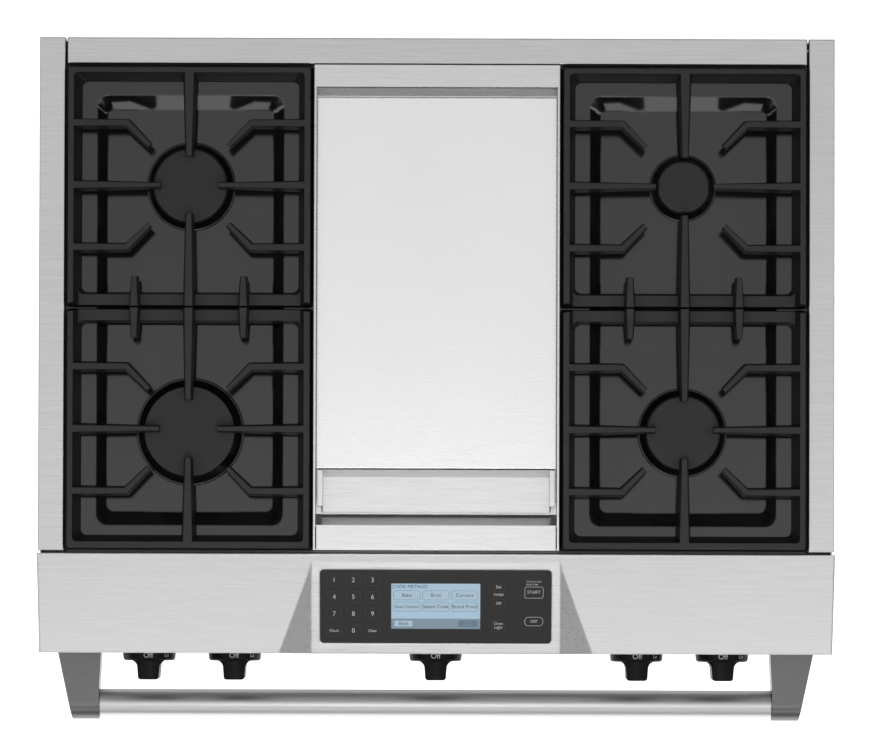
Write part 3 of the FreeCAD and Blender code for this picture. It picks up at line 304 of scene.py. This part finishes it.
zinc_bright = metal("leg_steel", (0.58, 0.59, 0.60, 1), 0.34)
sheath = casting("element_sheath", 62, roughness=0.45, grain=1400, edge=0)
pipe_black = casting("manifold_steel", 44, roughness=0.5)
door_glass = tinted_glass("door_glass", (0.012, 0.012, 0.014, 1), alpha=0.78)
lamp_glass = tinted_glass("lamp_glass", (0.85, 0.82, 0.76, 1), roughness=0.2, alpha=0.6)
ceramic = moulded("igniter_ceramic", (0.80, 0.77, 0.70, 1), roughness=0.2)

BY_SLOT = {
    "stainless_brushed": steel_flat, "stainless_satin": steel_satin, "galvanised_sheet": zinc,
    "griddle_steel": griddle_steel, "black_enamel": pan_enamel, "cavity_enamel": cavity_enamel,
    "grate_iron": iron, "cap_iron": cap_iron, "burner_black": burner_black,
    "igniter_ceramic": ceramic, "knob_black": knob_black, "spindle_brass": brass, "valve_brass": brass,
    "tube_aluminium": aluminium, "manifold_steel": pipe_black, "overlay_glass": overlay_glass(),
    "door_glass": door_glass, "lamp_glass": lamp_glass, "rack_chrome": chrome_wire,
    "element_sheath": sheath, "gasket_braid": woven("gasket_braid", (0.22, 0.22, 0.23, 1), 260),
    "insulation_wool": woven("insulation_wool", (0.62, 0.55, 0.34, 1), 60),
    "board_green": moulded("board_green", (0.02, 0.12, 0.05, 1), 0.3),
    "thermostat_body": moulded("thermostat_case", (0.55, 0.52, 0.45, 1), 0.5),
    "motor_steel": metal("motor_steel", (0.32, 0.33, 0.34, 1), 0.45),
    "leg_steel": zinc_bright,
}
# Some nodes get lighter or darker copies of the one stainless: painted light and painted shade.
BY_NODE = {"side_panels": steel_side_painted_shade, "handle_brackets": bracket_steel_painted_shade, "control_deck": steel_deck_painted_light,
           "griddle_housing": steel_painted_light, "grease_tray": steel_painted_light, "knob_panel": steel_front_painted_shade,
           "door_skin": steel_front_painted_shade, "kick_plate": steel_front_painted_shade}

for entry in frame["record"]["subparts"]:
    carried = nodes[entry["node"]]
    chosen = BY_NODE.get(entry["node"], BY_SLOT[entry["material_slot"]])
    carried.data.materials.clear()
    carried.data.materials.append(chosen)


# ---------------------------------------------------------------- touch panel

MM = 0.001
panel_low, panel_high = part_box("touch_panel")
GLASS = 4.0 * MM
# the glass is a tilted slab: its box gives the tilt, which a few rounds settle
tilt = 0.2
for _ in range(20):
    rise = panel_high.z - panel_low.z - GLASS * math.cos(2 * tilt) / math.cos(tilt)
    tilt = math.atan(rise / (panel_high.y - panel_low.y))
up_slope = Vector((0, math.cos(tilt), math.sin(tilt)))
face_out = Vector((0, -math.sin(tilt), math.cos(tilt)))
front_edge = Vector((0, panel_low.y, panel_low.z + GLASS * math.cos(tilt)))
depth = (panel_high.y - panel_low.y - GLASS * math.sin(tilt)) / math.cos(tilt)


def on_glass(u, v, lift=0.06 * MM):
    """A point of the glass: u to the right of its middle, v up the slope from its front edge."""
    return front_edge + Vector((u, 0, 0)) + up_slope * v + face_out * lift


def add_piece(name, mesh, material, body):
    mesh.materials.append(material)
    piece = bpy.data.objects.new(name, mesh)
    scene.collection.objects.link(piece)
    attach(piece, body)


def finish_mesh(name, bm, material, body):
    mesh = bpy.data.meshes.new(name)
    bm.to_mesh(mesh)
    bm.free()
    add_piece(name, mesh, material, body)


def rounded_outline(u, v, width, height, radius, steps=5):
    """Corner points of a rounded rectangle, centred on (u, v)."""
    points = []
    for corner, (sx, sy) in enumerate(((1, 1), (-1, 1), (-1, -1), (1, -1))):
        for step in range(steps + 1):
            angle = math.pi / 2 * (corner + step / steps)
            points.append((u + sx * (width / 2 - radius) + radius * math.cos(angle),
                           v + sy * (height / 2 - radius) + radius * math.sin(angle)))
    return points


def filled(name, u, v, width, height, radius, material, lift):
    """A thin rounded tile on the glass, with its own thickness."""
    bm = bmesh.new()
    outline = rounded_outline(u, v, width, height, radius)
    top = [bm.verts.new(on_glass(a, b, lift)) for a, b in outline]
    base = [bm.verts.new(on_glass(a, b, 0.01 * MM)) for a, b in outline]
    bm.faces.new(top)
    bm.faces.new(base[::-1])
    for i in range(len(top)):
        j = (i + 1) % len(top)
        bm.faces.new((base[i], base[j], top[j], top[i]))
    finish_mesh(name, bm, material, "range")


def outlined(name, rings, material, line, lift=0.06 * MM):
    """Rounded-rectangle outlines, all in one piece."""
    bm = bmesh.new()
    for u, v, width, height, radius in rings:
        outer = rounded_outline(u, v, width, height, radius)
        inner = rounded_outline(u, v, width - 2 * line, height - 2 * line, max(radius - line, line))
        rows = [[bm.verts.new(on_glass(a, b, lift)) for a, b in ring] for ring in (outer, inner)]
        for i in range(len(outer)):
            j = (i + 1) % len(outer)
            bm.faces.new((rows[0][i], rows[0][j], rows[1][j], rows[1][i]))
    finish_mesh(name, bm, material, "range")


def lettering(name, text, height, material, place, body="range"):
    """Flat text turned into a mesh; `place` sends each (x, y) of it to a point."""
    curve = bpy.data.curves.new(name, "FONT")
    curve.body = text
    curve.size = height / 0.7
    curve.align_x = "CENTER"
    curve.align_y = "CENTER"
    curve.resolution_u = 3
    flat = bpy.data.objects.new(name + "_flat", curve)
    scene.collection.objects.link(flat)
    bpy.context.view_layer.update()
    mesh = bpy.data.meshes.new_from_object(flat)
    bpy.data.objects.remove(flat)
    for vertex in mesh.vertices:
        vertex.co = place(vertex.co.x, vertex.co.y)
    mesh.materials.clear()
    mesh.name = name
    add_piece(name, mesh, material, body)


def label(name, text, u, v, height, material, lift=0.07 * MM):
    lettering(name, text, height, material, lambda x, y: on_glass(u + x, v + y, lift))


def down(share):
    """The place up the slope that lies this share of the glass below its rear edge."""
    return depth * (1 - share)


def touch_graphics():
    pale = ink("panel_print", grey(205), glow=0.1)
    faint = ink("key_outline", grey(62), glow=0.02)
    screen_blue = ink("screen_blue", (0.39, 0.55, 0.69, 1), roughness=0.3, glow=0.3)
    bar_blue = ink("screen_bar", (0.23, 0.32, 0.40, 1), roughness=0.3, glow=0.2)
    button_blue = ink("screen_button", (0.43, 0.58, 0.70, 1), roughness=0.3, glow=0.22)
    edge_blue = ink("screen_edge", (0.14, 0.22, 0.31, 1), roughness=0.3, glow=0.15)
    dark_blue = ink("screen_text", (0.03, 0.055, 0.09, 1), roughness=0.4)
    frame_dark = ink("screen_frame", grey(22))

    keys = [["1", "2", "3"], ["4", "5", "6"], ["7", "8", "9"], ["Clock", "0", "Clear"]]
    rings = []
    for row, words in enumerate(keys):
        for column, word in enumerate(words):
            u, v = (-116.5 + 22.0 * column) * MM, down(0.136 + 0.232 * row)
            rings.append((u, v, 16.2 * MM, 13.6 * MM, 3 * MM))
            label(f"key_{word}", word, u, v, (5.4 if len(word) == 1 else 3.2) * MM, pale)
    outlined("key_outlines", rings, faint, 0.3 * MM)

    wide, high, middle_v = 102 * MM, 0.62 * depth, down(0.492)
    filled("screen_surround", 0, middle_v, wide + 3 * MM, high + 3 * MM, 1.5 * MM, frame_dark, 0.03 * MM)
    filled("screen_field", 0, middle_v, wide, high, 0.8 * MM, screen_blue, 0.06 * MM)
    filled("screen_bar", 0, down(0.732), wide, 0.14 * depth, 0.8 * MM, bar_blue, 0.09 * MM)
    label("screen_title", "COOK METHOD", -29.9 * MM, down(0.225), 3.9 * MM, dark_blue, 0.16 * MM)
    choices = [["Bake", "Broil", "Convect"], ["Auto Convect", "Steam Cook", "Bread Proof"]]
    edges = []
    for row, words in enumerate(choices):
        for column, word in enumerate(words):
            u, v = 33.1 * (column - 1) * MM, down(0.342 + 0.156 * row)
            tag = word.replace(" ", "_")
            filled("choice_" + tag, u, v, 30.6 * MM, 11.2 * MM, 2.2 * MM, button_blue, 0.12 * MM)
            edges.append((u, v, 30.8 * MM, 11.4 * MM, 2.3 * MM))
            label("choice_text_" + tag, word, u, v,
                  (4.1 if len(word) < 12 else 3.3) * MM, dark_blue, 0.18 * MM)
    corner_u, corner_v = 36.9 * MM, down(0.730)
    filled("screen_back", -corner_u, corner_v, 21.6 * MM, 7.8 * MM, 1.2 * MM, button_blue, 0.12 * MM)
    edges.append((-corner_u, corner_v, 21.8 * MM, 8.0 * MM, 1.3 * MM))
    filled("screen_more", corner_u, corner_v, 21.9 * MM, 7.8 * MM, 1.2 * MM, edge_blue, 0.12 * MM)
    label("screen_back_text", "Back", -corner_u, corner_v, 4.0 * MM, dark_blue, 0.18 * MM)
    label("screen_more_text", "More", corner_u, corner_v + 1.8 * MM, 2.3 * MM, bar_blue, 0.18 * MM)
    label("screen_more_text_2", "Options", corner_u, corner_v - 1.8 * MM, 2.3 * MM, bar_blue, 0.18 * MM)
    outlined("screen_button_edges", edges, edge_blue, 0.4 * MM, 0.15 * MM)

    right, far = 72 * MM, 112.6 * MM
    for word, share, tall in (("Set", 0.225, 3.6), ("TIMER", 0.334, 3.0), ("Off", 0.451, 3.4),
                              ("Oven", 0.728, 3.4), ("Light", 0.780, 3.4)):
        label("right_" + word, word, right, down(share), tall * MM, pale)
    outlined("timer_outlines", [(right, down(0.225), 13.5 * MM, 10.5 * MM, 2 * MM),
                                (right, down(0.451), 13.5 * MM, 10.5 * MM, 2 * MM),
                                (right, down(0.754), 14.5 * MM, 13 * MM, 2 * MM)], faint, 0.3 * MM)
    label("lock_note", "Control Lock", far, down(0.150), 2.2 * MM, pale)
    label("lock_note_2", "Hold 3 Sec", far - 2 * MM, down(0.190), 2.2 * MM, pale)
    label("start", "START", far, down(0.297), 3.7 * MM, pale)
    label("off", "OFF", far, down(0.698), 3.3 * MM, pale)
    outlined("start_outline", [(far, down(0.301), 21.4 * MM, 13.7 * MM, 2.2 * MM),
                               (far, down(0.698), 21.2 * MM, 10.7 * MM, 4.5 * MM)], pale, 0.45 * MM)


# ---------------------------------------------------------------- knob markings

def knob_marks():
    """Off on top of each knob's skirt, and Lo to its right on the burner knobs."""
    white = ink("knob_print", grey(200))
    for knob in [name for name in nodes if name.startswith("knob_") and name != "knob_panel"]:
        low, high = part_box(knob)
        centre = (low + high) / 2
        reach = (high.x - low.x) / 2 - 0.55 * MM
        print_y = low.y + 28.1 * MM

        def wrapped(start):
            def place(x, y):
                angle = start + x / reach
                return Vector((centre.x + reach * math.sin(angle), print_y + y,
                               centre.z + reach * math.cos(angle)))
            return place

        lettering(knob + "_off", "Off", 6.0 * MM, white, wrapped(0.0), knob)
        if knob != "knob_griddle":
            lettering(knob + "_low", "Lo", 4.4 * MM, white, wrapped(0.75), knob)


touch_graphics()
knob_marks()


# ---------------------------------------------------------------- small fixings

def screw(bm, place, outward, radius=3.6 * MM, height=1.6 * MM):
    """A pan-head screw: rings of a dome, and a recess sunk in its top with four slots."""
    turn = Matrix.Translation(place) @ outward.to_track_quat("Z", "Y").to_matrix().to_4x4()
    count = 16

    def ring(spread, up):
        """Corners at the height `up`; `spread` gives the share of the radius for each."""
        corners = []
        for i in range(count):
            angle = 2 * math.pi * i / count
            reach = radius * spread(i)
            point = Vector((reach * math.cos(angle), reach * math.sin(angle), height * up))
            corners.append(bm.verts.new(turn @ point))
        return corners

    def band(lower, upper):
        for i in range(count):
            j = (i + 1) % count
            bm.faces.new((lower[i], lower[j], upper[j], upper[i]))

    profile = [(1.0, 0.0), (1.0, 0.35), (0.9, 0.7), (0.62, 0.93), (0.3, 1.0)]
    rings = [ring(lambda _, share=share: share, up) for share, up in profile]
    sunk = ring(lambda i: 0.3 * (0.35 if i % 4 in (1, 2, 3) else 1), 0.45)
    for lower, upper in zip(rings, rings[1:] + [sunk]):
        band(lower, upper)
    bm.faces.new(sunk)


def rear_screws():
    low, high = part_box("rear_panel")
    bm = bmesh.new()
    for x in (low.x + 12 * MM, 0.0, high.x - 12 * MM):
        for share in (0.03, 0.34, 0.66, 0.97):
            z = low.z + (high.z - low.z) * share
            screw(bm, Vector((x, high.y - 0.1 * MM, z)), Vector((0, 1, 0)))
    finish_mesh("rear_screws", bm, zinc_bright, "range")


rear_screws()


# ---------------------------------------------------------------- stage

def floor():
    """A wide pale ground, lit from within so that it stays white around the object."""
    bm = bmesh.new()
    half = 12
    square = ((-half, -half), (half, -half), (half, half), (-half, half))
    bm.faces.new([bm.verts.new((x, y, 0)) for x, y in square])
    mesh = bpy.data.meshes.new("floor")
    bm.to_mesh(mesh)
    bm.free()
    plane = bpy.data.objects.new("floor", mesh)
    scene.collection.objects.link(plane)
    pale = Shader("floor_pale", Roughness=0.9, Emission_Strength=0.75)
    pale.surface.inputs["Emission Color"].default_value = (1, 1, 1, 1)
    cloud = pale.noise((0.5, 0.5, 0.5))
    pale.colour(pale.ramp(cloud, (0.96, 0.96, 0.96, 1), (0.98, 0.98, 0.98, 1)))
    mesh.materials.append(pale.material)


def soft_box(name, place, aim, width, height, power):
    """A rectangular area lamp that looks from `place` to `aim`, unseen by the camera."""
    light = bpy.data.lights.new(name, "AREA")
    light.shape = "RECTANGLE"
    light.size, light.size_y = width, height
    light.energy = power
    lamp = bpy.data.objects.new(name, light)
    lamp.location = place
    lamp.rotation_euler = (Vector(aim) - Vector(place)).to_track_quat("-Z", "Y").to_euler()
    lamp.visible_camera = False
    scene.collection.objects.link(lamp)


def studio():
    """A sky that is bright overhead, dimmer to the front and rear, and dark low down, and soft boxes."""
    world = bpy.data.worlds.new("studio")
    scene.world = world
    world.use_nodes = True
    tree = world.node_tree
    split = tree.nodes.new("ShaderNodeSeparateXYZ")
    tree.links.new(tree.nodes.new("ShaderNodeTexCoord").outputs["Generated"], split.inputs["Vector"])

    def eased(axis, start, end, low, high):
        """A smooth step from `low` to `high` as the direction's axis goes from start to end."""
        ease = tree.nodes.new("ShaderNodeMapRange")
        ease.interpolation_type = "SMOOTHSTEP"
        for socket, value in (("From Min", start), ("From Max", end), ("To Min", low), ("To Max", high)):
            ease.inputs[socket].default_value = value
        tree.links.new(split.outputs[axis], ease.inputs["Value"])
        return ease.outputs["Result"]

    strength = eased("Z", 0.60, 0.71, 0.02, 1.02)
    for share in (eased("Y", 0.0, 0.16, 1.0, 0.6), eased("Y", -0.50, -0.28, 0.7, 1.0)):
        times = tree.nodes.new("ShaderNodeMath")
        times.operation = "MULTIPLY"
        tree.links.new(strength, times.inputs[0])
        tree.links.new(share, times.inputs[1])
        strength = times.outputs["Value"]
    sky = tree.nodes["Background"]
    sky.inputs["Color"].default_value = (1, 1, 1, 1)
    tree.links.new(strength, sky.inputs["Strength"])
    soft_box("front_near", (0, -0.9, 3.4), (0, 0.1, 0.9), 0.5, 0.8, 5)
    soft_box("front_high", (0, -3.6, 3.4), (0, -0.25, 0.9), 6.0, 1.0, 24)
    for side in (-1, 1):
        soft_box(f"strip_{side}", (side * 3.6, -0.8, 3.0), (0, -0.8, 0.9), 3.4, 0.4, 8)
    soft_box("front_low", (0, -0.64, 0.56), (0, -0.375, 0.56), 1.6, 0.6, 1.5)


def photo_camera():
    """Straight down from high above the console, tipped a little towards the back."""
    lens = bpy.data.cameras.new("photo_camera")
    camera = bpy.data.objects.new("photo_camera", lens)
    scene.collection.objects.link(camera)
    scene.camera = camera
    lens.sensor_width = 36
    lens.lens = 234.6
    camera.location = (0, -0.1585, 7.411)
    target = Vector((-0.0005, 0.0044, 0.911))
    camera.rotation_euler = (target - camera.location).to_track_quat("-Z", "Y").to_euler()
    lens.clip_end = 100


floor()
studio()
photo_camera()
